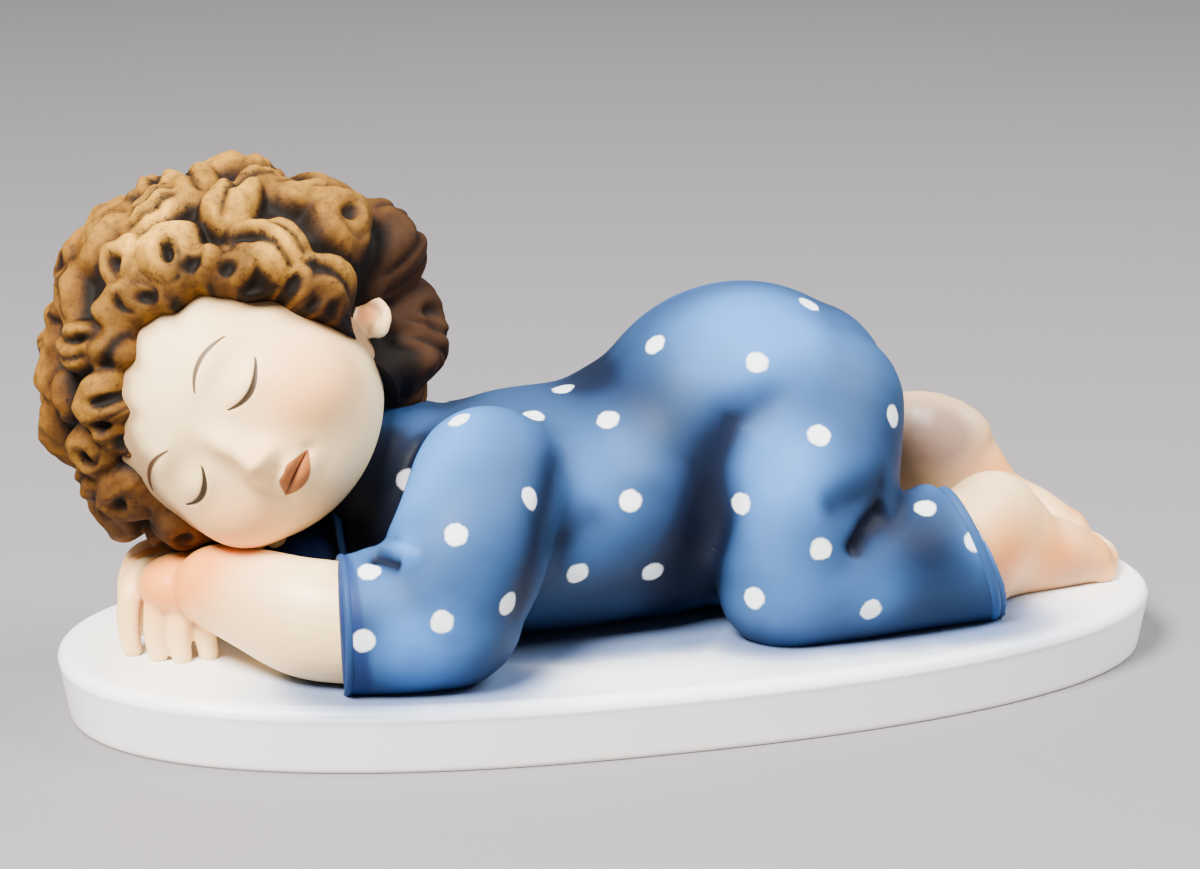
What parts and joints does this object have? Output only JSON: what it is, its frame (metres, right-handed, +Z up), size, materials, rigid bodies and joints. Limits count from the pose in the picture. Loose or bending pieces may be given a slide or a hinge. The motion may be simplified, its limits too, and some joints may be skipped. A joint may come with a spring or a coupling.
{
  "type": "sleeping baby figurine",
  "caption": "Cast ceramic figurine of a curly-haired toddler in dotted pyjamas, asleep face down with the bottom raised, one piece with its oval base.",
  "frame": {"origin": "centre of the base's flat underside", "axes": "+X along the base from the head end to the feet, +Z up, the sleeping face towards -Y"},
  "size_m": [0.2014, 0.0905, 0.0963],
  "materials": {
    "painted_ceramic": "hand painted and airbrushed under a soft satin glaze: mid blue clothes, cream skin, ochre hair, ivory base"
  },
  "bodies": {
    "root": {"sleeping_baby_figurine": "painted_ceramic"}
  },
  "joints": []
}
